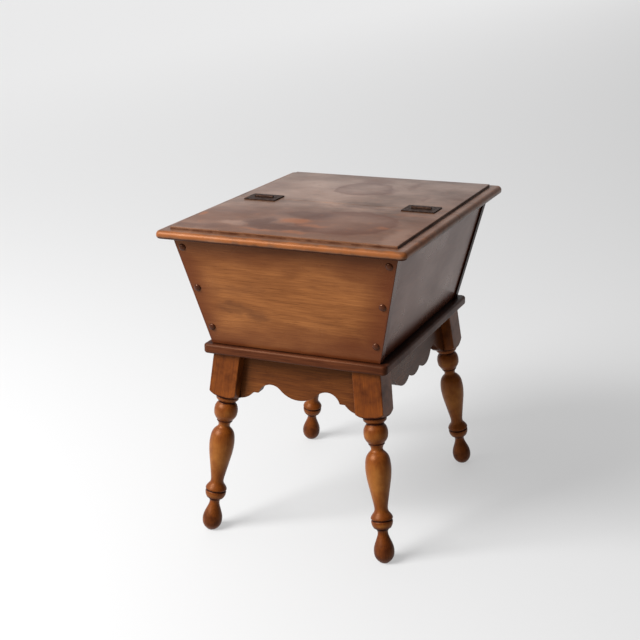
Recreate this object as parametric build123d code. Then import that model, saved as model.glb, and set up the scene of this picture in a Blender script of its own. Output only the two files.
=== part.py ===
from build123d import *
import os
from math import hypot, sqrt

# Splayed chest with a half lid, on a stand with four turned legs.
# Origin on the floor below the middle, front towards -Y, +Z up, millimetres.

# ---- driving dimensions -------------------------------------------------------------------
height = 559.0               # floor to the top of the raised field
top_thickness = 19.0
top_overhang_x = 20.3        # lip past the box's rim
top_overhang_y = 24.4
field_rise = 4.5             # raised field above the lip
field_edge_radius = 1.2
lip_width = 20.0
lip_upper_radius = 7.5
lip_lower_radius = 5.5
top_corner_radius = 10.0
seam_y = 2.0                 # joint between lid and rear top
seam_gap = 0.8
lid_rest_gap = 0.3           # lid above the rims of the box

box_width = 308.0            # front and back boards, along their lower edges
box_depth = 415.4            # outside the front and back boards, at their lower edges
box_flare_x = 89.4           # both grow by this much up to the rim
box_flare_y = 77.8
board_thickness = 18.0
side_reveal = 3.0            # front and back boards stand past the sides by this

platform_height = 348.0      # floor to the platform's upper face
platform_thickness = 17.0
platform_ledge_x = 14.0      # platform past the box's lower edge
platform_ledge_y = 10.3
platform_corner_radius = 9.0
platform_edge_radius = 4.5

peg_diameter = 9.5
peg_length = 36.0
peg_head_diameter = 12.6
peg_head_height = 3.6
peg_rows = 3
peg_top_drop = 17.0          # top row below the rim
peg_bottom_rise = 31.5       # bottom row above the platform
peg_fit = 0.05

leg_inset_x = 40.5           # leg axis at the platform's underside, from its edge
leg_inset_y = 37.0
leg_splay_x = 39.0           # leg axis at the floor, outwards from there
leg_splay_y = 39.8
post_width = 50.0

apron_thickness = 18.0
apron_proud = 5.0            # apron face outside the leg axes
apron_end_depth = 82.0       # apron height at the posts
flat_depth = 69.0            # apron height at the small flat beside each arch
sweep_width = 27.0           # quarter sweep between post and flat
sweep_radius = 34.0
arch_depth = 52.0            # apron height over the arches
arch_radius = 25.0
lobe_depth = 73.0            # apron height at the lobes
lobe_radius = 50.0
lobe_pitch = 55.0
front_lobes = 1
side_lobes = 3

tenon_thickness = 8.0
tenon_height = 42.0
tenon_top_drop = 20.0        # tenon below the platform
tenon_wall = 1.5             # wood between the two tenons in a post
mortise_end_gap = 0.8

corner_block_side = 62.0
corner_block_height = 38.0
corner_screw_inset = 21.0    # from the aprons' inner faces
cleat_size = 18.0
cleat_end_gap = 12.0
side_cleat_screws = 2

hinge_inset = 39.0           # hinge's outer end from the end of the top
hinge_width = 60.0
hinge_leaf_width = 22.5      # pin centre to leaf edge
hinge_leaf_thickness = 1.8
hinge_leaf_corner = 1.5
knuckle_radius = 2.6
knuckle_span = 36.0          # all the knuckles, in the middle of the leaf
knuckle_count = 3
knuckle_end_gap = 0.3
knuckle_lift = 0.2           # knuckles above the wood
pin_radius = 1.3
pin_running_gap = 0.05
pin_end_rounding = 0.5

hinge_screw_radius = 1.6
hinge_screw_head = 3.3
hinge_screw_length = 13.0
hinge_screw_spread = 21.0    # outer screws from the middle one, along the leaf
hinge_screw_reach = 15.5     # outer screws from the pin
hinge_screw_middle = 9.5     # middle screw from the pin
frame_screw_radius = 2.0
frame_screw_head = 4.0
frame_screw_bite = 20.0      # screw into the box boards
top_screw_bite = 12.0        # screw into the platform or the top
box_screw_inset_x = 69.0     # outer screws from the ends of the front and back boards
box_screw_inset_y = 82.7     # outer screws from the ends of the side boards
cleat_screw_inset = 57.0     # screws from the ends of the back cleat
screw_fit = 0.05
screw_point = 3.0

# Turned part of a leg: (radius, height along the leg)
foot_tip = (7.6, 0.0)
foot_bulb = (17.5, 20.0)
foot_shoulder = (12.8, 38.0)
foot_neck = (8.8, 52.4)
lower_cove = (12.6, 59.6)
ring_foot = (14.6, 60.4)
ring_belly = (17.4, 65.2)
ring_low = (18.5, 72.4)
ring_groove = (16.9, 74.9)
ring_high = (18.9, 77.4)
ring_shoulder = (15.2, 84.6)
waist = (11.4, 93.0)
vase_middle = (16.0, 121.7)
vase_belly = (22.0, 164.0)
vase_shoulder = (20.2, 180.6)
vase_neck = (10.0, 197.0)
upper_cove = (12.6, 204.4)
upper_list = (13.9, 204.8)
ball_foot = (13.9, 207.2)
ball_middle = (20.7, 225.4)
ball_top = (14.7, 240.8)
collar_low = (19.4, 246.0)
collar_high = (20.2, 251.8)
pommel_middle = (29.0, 255.6)
pommel_corner = (36.0, 262.0)

# ---- worked out from them -----------------------------------------------------------------
rim_height = height - top_thickness
box_rim_width = box_width + box_flare_x
box_rim_depth = box_depth + box_flare_y
stand_height = platform_height - platform_thickness
top_width = box_rim_width + 2 * top_overhang_x
top_depth = box_rim_depth + 2 * top_overhang_y
platform_width = box_width + 2 * platform_ledge_x
platform_depth = box_depth + 2 * platform_ledge_y
leg_top_x = platform_width / 2 - leg_inset_x
leg_top_y = platform_depth / 2 - leg_inset_y
foot_x = leg_top_x + leg_splay_x
foot_y = leg_top_y + leg_splay_y
hinge_middle_x = top_width / 2 - hinge_inset - hinge_width / 2
pin_height = height + knuckle_lift + knuckle_radius
knuckle_pitch = knuckle_span / knuckle_count
wall_inset = side_reveal + board_thickness
apron_middle = apron_thickness / 2 - apron_proud
reach = 2 * (top_width + top_depth)
sides = (-1, 1)


def box_x(z):
    """Half width of the front and back boards at height z."""
    share = (z - platform_height) / (rim_height - platform_height)
    return (box_width + (box_rim_width - box_width) * share) / 2


def box_y(z):
    """Half depth of the box at height z."""
    share = (z - platform_height) / (rim_height - platform_height)
    return (box_depth + (box_rim_depth - box_depth) * share) / 2


def leg_x(z):
    """X of the leg axes at height z."""
    return leg_top_x + (foot_x - leg_top_x) * (1 - z / stand_height)


def leg_y(z):
    """Y of the leg axes at height z."""
    return leg_top_y + (foot_y - leg_top_y) * (1 - z / stand_height)


def apron_x(z):
    """X of the side aprons' outer faces at height z."""
    return leg_x(z) + apron_proud * lean(leg_x)


def apron_y(z):
    """Y of the front and back aprons' outer faces at height z."""
    return leg_y(z) + apron_proud * lean(leg_y)


def lean(half_at):
    """Level width of a leaning board for each unit of its thickness."""
    run = half_at(rim_height) - half_at(0)
    return hypot(rim_height, run) / rim_height


def slab(plane, side, half_at, inset, thickness, low, high):
    """Leaning board of even thickness, its outer face inset from half_at, cut level."""
    outer = [side * (half_at(z) - inset * lean(half_at)) for z in (low, high)]
    inner = [side * (half_at(z) - (inset + thickness) * lean(half_at)) for z in (low, high)]
    outline = Polyline(
        (outer[0], low), (outer[1], high), (inner[1], high), (inner[0], low), close=True
    )
    return extrude(plane * make_face(outline), reach, both=True)


def room(plane, half_at, inset, low, high):
    """Space between two opposite leaning faces."""
    half = [half_at(z) - inset * lean(half_at) for z in (low, high)]
    outline = Polyline(
        (-half[0], low), (-half[1], high), (half[1], high), (half[0], low), close=True
    )
    return extrude(plane * make_face(outline), reach, both=True)


def block(x, y, z):
    """Box between two corners, given as (low, high) pairs."""
    size = [high - low for low, high in (x, y, z)]
    middle = [(high + low) / 2 for low, high in (x, y, z)]
    return Pos(*middle) * Box(*size)


# ---- screws and pegs ----------------------------------------------------------------------
def screw(radius, head, length, grow=0.0):
    """Countersunk screw, head up at the origin, driven along -Z; grow makes its hole."""
    outline = Polyline(
        (0, grow),
        (head + 2 * grow, grow),
        (radius + grow, radius - head),
        (radius + grow, screw_point - length),
        (0, -length - grow),
        close=True,
    )
    return revolve(Plane.XZ * make_face(outline), Axis.Z)


def hinge_screw_places(end):
    """Three places on each leaf, by hinge; end is -1 for the lid and +1 for the rear top."""
    top = height + hinge_leaf_thickness
    for side in sides:
        middle = side * hinge_middle_x
        yield Pos(middle, seam_y + end * hinge_screw_middle, top)
        for turn in sides:
            yield Pos(middle + turn * hinge_screw_spread, seam_y + end * hinge_screw_reach, top)


def hinge_screw(grow=0.0):
    return screw(hinge_screw_radius, hinge_screw_head, hinge_screw_length, grow)


def box_screw_places():
    """Up through the platform into the middle of each box board."""
    bite = platform_height + frame_screw_bite / 2
    x = box_x(bite) - (side_reveal + board_thickness / 2) * lean(box_x)
    y = box_y(bite) - board_thickness / 2 * lean(box_y)
    spread_x = box_width / 2 - box_screw_inset_x
    spread_y = box_depth / 2 - box_screw_inset_y
    for side in sides:
        for along in (-1, 0, 1):
            yield Pos(along * spread_x, side * y, stand_height) * Rot(180, 0, 0)
            yield Pos(side * x, along * spread_y, stand_height) * Rot(180, 0, 0)


def box_screw(grow=0.0):
    length = platform_thickness + frame_screw_bite
    return screw(frame_screw_radius, frame_screw_head, length, grow)


def corner_screw_places():
    """Up through each corner block into the platform."""
    low = stand_height - corner_block_height
    x = apron_x(stand_height) - apron_thickness * lean(leg_x) - corner_screw_inset
    y = apron_y(stand_height) - apron_thickness * lean(leg_y) - corner_screw_inset
    for side in sides:
        for end in sides:
            yield Pos(side * x, end * y, low) * Rot(180, 0, 0)


def corner_screw(grow=0.0):
    return screw(frame_screw_radius, frame_screw_head, corner_block_height + top_screw_bite, grow)


def cleat_screw_places():
    """Up through the cleats into the rear top."""
    low = rim_height - cleat_size
    x = box_x(rim_height) - (wall_inset + cleat_size / 2) * lean(box_x)
    y = box_y(rim_height) - (board_thickness + cleat_size / 2) * lean(box_y)
    start, stop = side_cleat_span()
    for side in sides:
        yield Pos(side * (back_cleat_half() - cleat_screw_inset), y, low) * Rot(180, 0, 0)
        for place in range(side_cleat_screws):
            share = (place + 0.5) / side_cleat_screws
            yield Pos(side * x, start + share * (stop - start), low) * Rot(180, 0, 0)


def cleat_screw(grow=0.0):
    return screw(frame_screw_radius, frame_screw_head, cleat_size + top_screw_bite, grow)


def drilled(solid, tool, places):
    """Solid with the tool's hole cut at each place."""
    for place in places:
        solid = solid - place * tool
    return solid


def group(tool, places):
    """Separate copies of one solid."""
    return Compound(children=[place * tool for place in places])


def peg():
    """Domed peg along -Z, its head seated at the origin."""
    radius = peg_diameter / 2
    head = peg_head_diameter / 2
    shank = Polyline((0, peg_head_height), (0, -peg_length), (radius, -peg_length), (radius, 0), (head, 0))
    dome = Spline((head, 0), (0, peg_head_height), tangents=[(0, 1), (-1, 0)])
    return revolve(Plane.XZ * make_face(Wire(shank.edges() + dome.edges())), Axis.Z)


def peg_hole():
    """Round hole for a peg's shank."""
    return Pos(0, 0, -peg_length / 2) * Cylinder(peg_diameter / 2 + peg_fit, peg_length + 2 * peg_fit)


def peg_places(end):
    """Rows of pegs up both edges of the front (-1) or back (+1) board, square to its face."""
    low = platform_height + peg_bottom_rise
    high = rim_height - peg_top_drop
    outwards = (0, end * rim_height, box_y(0) - box_y(rim_height))
    for side in sides:
        for row in range(peg_rows):
            z = low + (high - low) * row / (peg_rows - 1)
            x = side * (box_x(z) - (side_reveal + board_thickness / 2) * lean(box_x))
            yield Plane(origin=(x, end * box_y(z), z), x_dir=(1, 0, 0), z_dir=outwards)


# ---- the top ------------------------------------------------------------------------------
def whole_top():
    """Raised field on a plate with a rounded lip, before it is cut at the seam."""
    lip_height = top_thickness - field_rise
    plan = RectangleRounded(top_width, top_depth, top_corner_radius)
    plate = extrude(Plane.XY.offset(rim_height) * plan, lip_height)
    plate = fillet(plate.edges().group_by(Axis.Z)[-1], lip_upper_radius)
    plate = fillet(plate.edges().group_by(Axis.Z)[0], lip_lower_radius)
    field = extrude(
        Plane.XY.offset(rim_height) * Rectangle(top_width - 2 * lip_width, top_depth - 2 * lip_width),
        top_thickness,
    )
    field = fillet(field.edges().group_by(Axis.Z)[-1], field_edge_radius)
    return plate + field


def lid():
    """Front half of the top, a little clear of the rims it rests over."""
    front = seam_y - seam_gap / 2
    keep = block((-reach, reach), (-reach, front), (rim_height + lid_rest_gap, height + reach))
    return drilled(whole_top() & keep, hinge_screw(screw_fit), hinge_screw_places(-1))


def rear_top():
    """Rear half of the top, fixed to the box."""
    keep = block((-reach, reach), (seam_y + seam_gap / 2, reach), (0, height + reach))
    board = drilled(whole_top() & keep, hinge_screw(screw_fit), hinge_screw_places(1))
    return drilled(board, cleat_screw(screw_fit), cleat_screw_places())


def side_cleat_span():
    """Y ends of the side cleats, between the seam and the back cleat."""
    back = box_y(rim_height - cleat_size) - (board_thickness + cleat_size) * lean(box_y)
    return seam_y + cleat_end_gap, back - cleat_end_gap


def back_cleat_half():
    """Half length of the back cleat, clear of the side cleats."""
    return box_x(rim_height - cleat_size) - (wall_inset + cleat_size) * lean(box_x) - cleat_end_gap


def back_cleat():
    """Strip inside the back board that the rear top is screwed to."""
    low = rim_height - cleat_size
    strip = slab(Plane.YZ, 1, box_y, board_thickness, cleat_size, low, rim_height)
    strip = strip & block((-back_cleat_half(), back_cleat_half()), (0, reach), (0, height))
    return drilled(strip, cleat_screw(screw_fit), cleat_screw_places())


def side_cleat(side):
    """Strip inside a side board, under the rear top only."""
    low = rim_height - cleat_size
    strip = slab(Plane.XZ, side, box_x, wall_inset, cleat_size, low, rim_height)
    strip = strip & block((-reach, reach), side_cleat_span(), (0, height))
    return drilled(strip, cleat_screw(screw_fit), cleat_screw_places())


# ---- the box ------------------------------------------------------------------------------
def end_board(end):
    """Front (-1) or back (+1) board, lapping the ends of the side boards."""
    board = slab(Plane.YZ, end, box_y, 0, board_thickness, platform_height, rim_height)
    board = board & room(Plane.XZ, box_x, 0, platform_height, rim_height)
    board = drilled(board, peg_hole(), peg_places(end))
    return drilled(board, box_screw(screw_fit), box_screw_places())


def side_board(side):
    """Left (-1) or right (+1) board, between the front and back boards."""
    board = slab(
        Plane.XZ, side, box_x, side_reveal, board_thickness, platform_height, rim_height
    )
    board = board & room(Plane.YZ, box_y, board_thickness, platform_height, rim_height)
    for end in sides:
        board = drilled(board, peg_hole(), peg_places(end))
    return drilled(board, box_screw(screw_fit), box_screw_places())


def platform():
    """Board between box and stand, with rounded edges."""
    plan = RectangleRounded(platform_width, platform_depth, platform_corner_radius)
    board = extrude(Plane.XY.offset(stand_height) * plan, platform_thickness)
    board = fillet(board.edges().group_by(Axis.Z)[-1], platform_edge_radius)
    board = fillet(board.edges().group_by(Axis.Z)[0], platform_edge_radius)
    board = drilled(board, box_screw(screw_fit), box_screw_places())
    return drilled(board, corner_screw(screw_fit), corner_screw_places())


# ---- the stand ----------------------------------------------------------------------------
def leg_frame(side, end):
    """Work plane at a foot, Z up the leg, X outwards to the side."""
    foot = Vector(side * foot_x, end * foot_y, 0)
    top = Vector(side * leg_top_x, end * leg_top_y, stand_height)
    return Plane(origin=foot, x_dir=Vector(side, 0, 0), z_dir=top - foot)


def leg_length():
    return Vector(foot_x - leg_top_x, foot_y - leg_top_y, stand_height).length


def post_space(side, end):
    """Square length of wood that a leg is turned from."""
    square = extrude(Rectangle(post_width, post_width), leg_length() + 2 * post_width)
    return leg_frame(side, end) * (Pos(0, 0, -post_width) * square)


def turned_blank():
    """Turned part of a leg from the foot up, ending in the rounded foot of the square."""
    high = leg_length() + post_width
    up = (0, 1)
    lines = [
        Line((0, -post_width), (foot_tip[0], -post_width)),
        Line((foot_tip[0], -post_width), foot_tip),
        Spline(foot_tip, foot_bulb, foot_shoulder, foot_neck, tangents=[(1, 0.6), up]),
        Spline(foot_neck, lower_cove, tangents=[up, (1, 0.35)]),
        Line(lower_cove, ring_foot),
        ThreePointArc(ring_foot, ring_belly, ring_low),
        Line(ring_low, ring_groove),
        Line(ring_groove, ring_high),
        Spline(ring_high, ring_shoulder, waist, tangents=[(-0.2, 1), up]),
        Spline(waist, vase_middle, vase_belly, vase_shoulder, vase_neck, tangents=[up, up]),
        Spline(vase_neck, upper_cove, tangents=[up, (1, 0.35)]),
        Line(upper_cove, upper_list),
        Line(upper_list, ball_foot),
        Spline(ball_foot, ball_middle, ball_top, tangents=[(1, 0.6), (-1, 0.6)]),
        Line(ball_top, collar_low),
        Line(collar_low, collar_high),
        ThreePointArc(collar_high, pommel_middle, pommel_corner),
        Line(pommel_corner, (pommel_corner[0], high)),
        Line((pommel_corner[0], high), (0, high)),
        Line((0, high), (0, -post_width)),
    ]
    return revolve(Plane.XZ * make_face(Wire(lines)), Axis.Z)


def tenon(side, end, across, slack=0.0):
    """Tenon in a post: across 0 for the front and back aprons, 1 for the side aprons."""
    length = post_width / 2 - apron_middle - tenon_thickness / 2 - tenon_wall
    start = -post_width / 2 - apron_middle
    stop = -post_width / 2 + length + slack
    middle = -apron_middle
    top = leg_length() - tenon_top_drop
    width = (middle - tenon_thickness / 2, middle + tenon_thickness / 2)
    outwards = side * end
    spans = [(start, stop), width]
    if across:
        spans = [width, (start, stop)]
    spans[1] = sorted(outwards * value for value in spans[1])
    return leg_frame(side, end) * block(*spans, (top - tenon_height, top))


def leg(side, end):
    """Square post with two mortises over a turned leg, cut level at floor and platform."""
    wood = leg_frame(side, end) * turned_blank() & post_space(side, end)
    wood = wood & block((-reach, reach), (-reach, reach), (0, stand_height))
    for across in (0, 1):
        wood = wood - tenon(side, end, across, mortise_end_gap)
    return wood


def scallops(half_at, lobes):
    """Half of an apron's outline, from the middle out to the leg axis."""
    low = stand_height - apron_end_depth
    level = stand_height - flat_depth
    arch_z = stand_height - arch_depth - arch_radius
    lobe_z = stand_height - lobe_depth + lobe_radius
    last = lobe_pitch * (lobes - 1) / 2
    joined = lobe_radius + arch_radius
    arch_at = last + sqrt(joined**2 - (lobe_z - arch_z) ** 2)
    corner = arch_at + sqrt(arch_radius**2 - (level - arch_z) ** 2)
    share = lobe_radius / joined
    turn = (last + (arch_at - last) * share, lobe_z + (arch_z - lobe_z) * share)
    cusp_z = lobe_z - sqrt(lobe_radius**2 - (lobe_pitch / 2) ** 2)
    post = half_at(low) - post_width / 2 * lean(half_at)
    sweep = post - sweep_width
    lines = [Line((0, stand_height), (0, lobe_z - lobe_radius))]
    at = (0, lobe_z - lobe_radius)
    for lobe in range((lobes - 1) // 2):
        cusp = (lobe_pitch * (lobe + 0.5), cusp_z)
        lines.append(RadiusArc(at, cusp, -lobe_radius))
        at = cusp
    lines += [
        RadiusArc(at, turn, -lobe_radius),
        ThreePointArc(turn, (arch_at, arch_z + arch_radius), (corner, level)),
        Line((corner, level), (sweep, level)),
        RadiusArc((sweep, level), (post, low), -sweep_radius),
        Line((post, low), (half_at(low), low)),
        Line((half_at(low), low), (half_at(stand_height), stand_height)),
        Line((half_at(stand_height), stand_height), (0, stand_height)),
    ]
    return make_face(Wire(lines))


def apron(outline_plane, slab_plane, side, along_at, face_at, lobes, corners, across):
    """Scalloped rail, leaning with the legs, with a tenon at each end."""
    low = stand_height - apron_end_depth
    half = scallops(along_at, lobes)
    outline = half + mirror(half, Plane.YZ)
    rail = slab(slab_plane, side, face_at, 0, apron_thickness, low, stand_height)
    rail = rail & extrude(outline_plane * outline, reach, both=True)
    for corner in corners:
        rail = rail - post_space(*corner)
    for corner in corners:
        rail = rail + tenon(*corner, across)
    return rail


def end_apron(end):
    """Front (-1) or back (+1) apron."""
    corners = [(side, end) for side in sides]
    return apron(Plane.XZ, Plane.YZ, end, leg_x, apron_y, front_lobes, corners, 0)


def side_apron(side):
    """Left (-1) or right (+1) apron."""
    corners = [(side, end) for end in sides]
    return apron(Plane.YZ, Plane.XZ, side, leg_y, apron_x, side_lobes, corners, 1)


def corner_block(side, end):
    """Three-cornered block behind a post, screwed up into the platform."""
    low = stand_height - corner_block_height
    space = room(Plane.XZ, apron_x, apron_thickness, low, stand_height)
    space = space & room(Plane.YZ, apron_y, apron_thickness, low, stand_height)
    x = apron_x(stand_height) - apron_thickness * lean(leg_x)
    y = apron_y(stand_height) - apron_thickness * lean(leg_y)
    beyond = post_width
    long_side = corner_block_side + 2 * beyond
    plan = Polyline(
        (side * (x + beyond), end * (y + beyond)),
        (side * (x + beyond - long_side), end * (y + beyond)),
        (side * (x + beyond), end * (y + beyond - long_side)),
        close=True,
    )
    wedge = extrude(Plane.XY.offset(low) * make_face(plan), corner_block_height)
    wood = wedge & space
    wood = wood - post_space(side, end)
    return drilled(wood, corner_screw(screw_fit), corner_screw_places())


# ---- the hinges ---------------------------------------------------------------------------
def hinge_leaf(side, end):
    """Surface leaf with its own knuckles, on the lid (-1) or the rear top (+1)."""
    middle = side * hinge_middle_x
    left = middle - knuckle_span / 2
    plan = Pos(middle, seam_y) * Rectangle(hinge_width, 2 * hinge_leaf_width)
    plan = fillet(plan.vertices(), hinge_leaf_corner)
    leaf = extrude(Plane.XY.offset(height) * plan, hinge_leaf_thickness)
    side_span = sorted((seam_y + end * seam_gap / 2, seam_y + end * reach))
    leaf = leaf & block((-reach, reach), side_span, (0, 2 * height))
    clear = knuckle_radius + knuckle_end_gap
    for knuckle in range(knuckle_count):
        start = left + knuckle * knuckle_pitch
        span = (start, start + knuckle_pitch)
        own = (knuckle % 2 == 0) == (end > 0)
        if own:
            ends = (start + knuckle_end_gap / 2, start + knuckle_pitch - knuckle_end_gap / 2)
            leaf = leaf + barrel(ends, knuckle_radius)
        else:
            leaf = leaf - block(span, (seam_y - clear, seam_y + clear), (0, 2 * height))
    leaf = leaf - barrel((left, left + knuckle_span), pin_radius + pin_running_gap)
    return drilled(leaf, hinge_screw(screw_fit), hinge_screw_places(end))


def barrel(span, radius):
    """Cylinder on the pin's axis between two X places."""
    length = span[1] - span[0]
    return Pos((span[0] + span[1]) / 2, seam_y, pin_height) * (Rot(0, 90, 0) * Cylinder(radius, length))


def hinge_pin(side):
    """Pin with rounded ends, as long as the knuckles."""
    half = (knuckle_span - knuckle_end_gap) / 2
    middle = side * hinge_middle_x
    pin = barrel((middle - half, middle + half), pin_radius)
    return fillet(pin.edges().filter_by(GeomType.CIRCLE), pin_end_rounding)


# ---- one file for each piece --------------------------------------------------------------
def pieces():
    yield "lid", lid()
    yield "rear_top", rear_top()
    yield "back_cleat", back_cleat()
    yield "platform", platform()
    for name, end in (("front", -1), ("back", 1)):
        yield f"{name}_board", end_board(end)
        yield f"{name}_apron", end_apron(end)
        yield f"{name}_pegs", group(peg(), peg_places(end))
    for name, side in (("left", -1), ("right", 1)):
        yield f"{name}_board", side_board(side)
        yield f"{name}_cleat", side_cleat(side)
        yield f"{name}_apron", side_apron(side)
        yield f"hinge_{name}_lid_leaf", hinge_leaf(side, -1)
        yield f"hinge_{name}_fixed_leaf", hinge_leaf(side, 1)
        yield f"hinge_{name}_pin", hinge_pin(side)
        for row, end in (("front", -1), ("back", 1)):
            yield f"leg_{row}_{name}", leg(side, end)
            yield f"corner_block_{row}_{name}", corner_block(side, end)
    yield "lid_hinge_screws", group(hinge_screw(), hinge_screw_places(-1))
    yield "fixed_hinge_screws", group(hinge_screw(), hinge_screw_places(1))
    yield "box_screws", group(box_screw(), box_screw_places())
    yield "corner_block_screws", group(corner_screw(), corner_screw_places())
    yield "cleat_screws", group(cleat_screw(), cleat_screw_places())


os.makedirs("parts", exist_ok=True)
for name, piece in pieces():
    export_step(piece, f"parts/{name}.step")
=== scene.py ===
from math import cos, hypot, pi, radians, sin

import bmesh
import bpy
import numpy as np
from mathutils import Matrix


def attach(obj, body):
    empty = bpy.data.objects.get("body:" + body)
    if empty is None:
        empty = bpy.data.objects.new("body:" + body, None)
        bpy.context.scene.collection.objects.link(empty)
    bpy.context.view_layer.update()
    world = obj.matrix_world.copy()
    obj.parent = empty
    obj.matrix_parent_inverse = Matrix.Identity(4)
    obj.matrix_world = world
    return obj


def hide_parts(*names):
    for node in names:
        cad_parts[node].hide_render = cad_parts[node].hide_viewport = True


# A pegged, splayed chest with a half lid, on a stand with four turned legs.
# Lengths are millimetres in the chest's own frame, and become metres where a mesh is made.

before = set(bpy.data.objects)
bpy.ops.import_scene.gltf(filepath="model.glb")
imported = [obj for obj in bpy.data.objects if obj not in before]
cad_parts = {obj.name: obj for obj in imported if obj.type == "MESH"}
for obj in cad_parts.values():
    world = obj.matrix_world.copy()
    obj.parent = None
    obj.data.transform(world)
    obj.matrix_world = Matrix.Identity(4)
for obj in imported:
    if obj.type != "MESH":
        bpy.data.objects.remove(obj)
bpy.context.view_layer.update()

MM = 0.001

# ---- sizes of the real pieces ----
height = 559.0
rim_height = 540.0
platform_height = 348.0
stand_height = 331.0
top_half_width = 219.0
top_half_depth = 271.0
lip_top = 554.5
lip_width = 20.0
lip_upper_radius = 7.5
lip_lower_radius = 5.5
field_edge_radius = 1.2
step_cove = 0.8
top_corner_radius = 10.0
seam_y = 2.0
seam_gap = 0.8
lid_rest_gap = 0.3
platform_half_width = 168.0
platform_half_depth = 218.0
platform_edge_radius = 4.5
platform_corner_radius = 9.0
box_half_width = 154.0
box_half_depth = 207.7
box_splay_x = (198.7 - box_half_width) / (rim_height - platform_height)
box_splay_y = (246.6 - box_half_depth) / (rim_height - platform_height)
board_thickness = 18.0
side_reveal = 3.0
foot = np.array([166.5, 220.8, 0.0])
leg_top = np.array([127.5, 181.0, 331.0])
leg_splay = (foot - leg_top) / stand_height
post_half_width = 25.0
apron_thickness = 18.0
apron_proud = 5.0

front = left = -1
back = right = 1


def box_x(z):
    """Half width of the front and back boards at height z."""
    return box_half_width + box_splay_x * (z - platform_height)


def box_y(z):
    """Half depth of the box at height z."""
    return box_half_depth + box_splay_y * (z - platform_height)


def leg_at(z, axis):
    """Distance of the leg axes from the middle, along X (0) or Y (1), at height z."""
    return leg_top[axis] + leg_splay[axis] * (stand_height - z)


# ---- mesh helpers ----
merge_distance = 1e-6  # metres between points that are one


def new_piece(
    name, points, faces, material, replaced, body="chest", sharp=35, wear_and_shade=None
):
    """Closed mesh piece from points in millimetres, its faces turned outwards, riding on body
    in place of the CAD pieces in replaced.
    Each point may carry a number: under a half the wood is darkened, for dirt and for painted
    shade; over a half it is rubbed by hands and cloths."""
    mesh = bpy.data.meshes.new(name)
    mesh.from_pydata([tuple(p) for p in np.asarray(points) * MM], [], faces)
    if wear_and_shade is not None:
        mesh.attributes.new("wear_and_shade", "FLOAT", "POINT").data.foreach_set("value", np.ravel(wear_and_shade))
    piece = bpy.data.objects.new(name, mesh)
    bpy.context.scene.collection.objects.link(piece)
    shell = bmesh.new()
    shell.from_mesh(mesh)
    bmesh.ops.remove_doubles(shell, verts=shell.verts, dist=merge_distance)
    bmesh.ops.recalc_face_normals(shell, faces=shell.faces)
    shell.to_mesh(mesh)
    shell.free()
    finish_piece(piece, material, body, sharp)
    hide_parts(*replaced)
    return piece


def finish_piece(piece, material, body, sharp=35):
    """Smooth shading that breaks at angles over sharp degrees, a material, a body."""
    mesh = piece.data
    mesh.polygons.foreach_set("use_smooth", [True] * len(mesh.polygons))
    mesh.set_sharp_from_angle(angle=radians(sharp))
    mesh.materials.clear()
    mesh.materials.append(material)
    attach(piece, body)


def ease(piece, width, angle=40):
    """Rounds the arrises that turn by more than angle degrees, as sanding does."""
    bevel = piece.modifiers.new("eased arrises", "BEVEL")
    bevel.width = width * MM
    bevel.segments = 3
    bevel.limit_method = "ANGLE"
    bevel.angle_limit = radians(angle)
    bevel.harden_normals = True


def grid_faces(rows, columns, wrap):
    """Quads between neighbouring points of a rows by columns grid; wrap closes each row."""
    index = np.arange(rows * columns).reshape(rows, columns)
    if wrap:
        index = np.hstack([index, index[:, :1]])
    corners = index[:-1, :-1], index[:-1, 1:], index[1:, 1:], index[1:, :-1]
    return [tuple(map(int, quad)) for quad in np.stack([c.ravel() for c in corners], axis=1)]


def capped_faces(rows, columns, wrap=True):
    """The same quads, and a face to close the first row and another to close the last."""
    last = (rows - 1) * columns
    caps = [tuple(range(columns)), tuple(range(last, last + columns))]
    return grid_faces(rows, columns, wrap) + caps


def arc(centre, radius, start, stop, count):
    """Points on a circle about centre from start to stop degrees, as (across, up)."""
    turn = np.radians(np.linspace(start, stop, count))
    return [(centre[0] + radius * cos(a), centre[1] + radius * sin(a)) for a in turn]


# ---- materials ----
def linear(hex_colour):
    """sRGB hex colour as the linear RGBA that shaders take."""
    channels = [int(hex_colour[i : i + 2], 16) / 255 for i in (1, 3, 5)]
    return [c / 12.92 if c <= 0.04045 else ((c + 0.055) / 1.055) ** 2.4 for c in channels] + [1.0]


def add(tree, kind, inputs, output=0, stops=(), **settings):
    """Adds a node with its settings and its inputs, which are values or other nodes' outputs,
    and returns one of its outputs, or all; stops are a ramp's (position, colour) pairs."""
    node = tree.nodes.new("ShaderNode" + kind)
    for name, value in settings.items():
        setattr(node, name, value)
    for name, value in inputs.items():
        if isinstance(value, bpy.types.NodeSocket):
            tree.links.new(value, node.inputs[name])
        else:
            node.inputs[name].default_value = value
    for i, (position, colour) in enumerate(stops):
        element = node.color_ramp.elements[i] if i < 2 else node.color_ramp.elements.new(position)
        element.position, element.color = position, linear(colour)
    return node.outputs if output is None else node.outputs[output]


smoothly = {"interpolation_type": "SMOOTHSTEP"}  # settings that repeat
in_colour = {"output": 2, "data_type": "RGBA"}


def new_material(name):
    """Empty material, and the place of each point of a piece in millimetres."""
    material = bpy.data.materials.new(name)
    material.use_nodes = True
    tree = material.node_tree
    tree.nodes.clear()
    metres = add(tree, "TexCoord", {}, "Object")
    return material, tree, add(tree, "VectorMath", {0: metres, "Scale": 1 / MM}, operation="SCALE")


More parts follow.
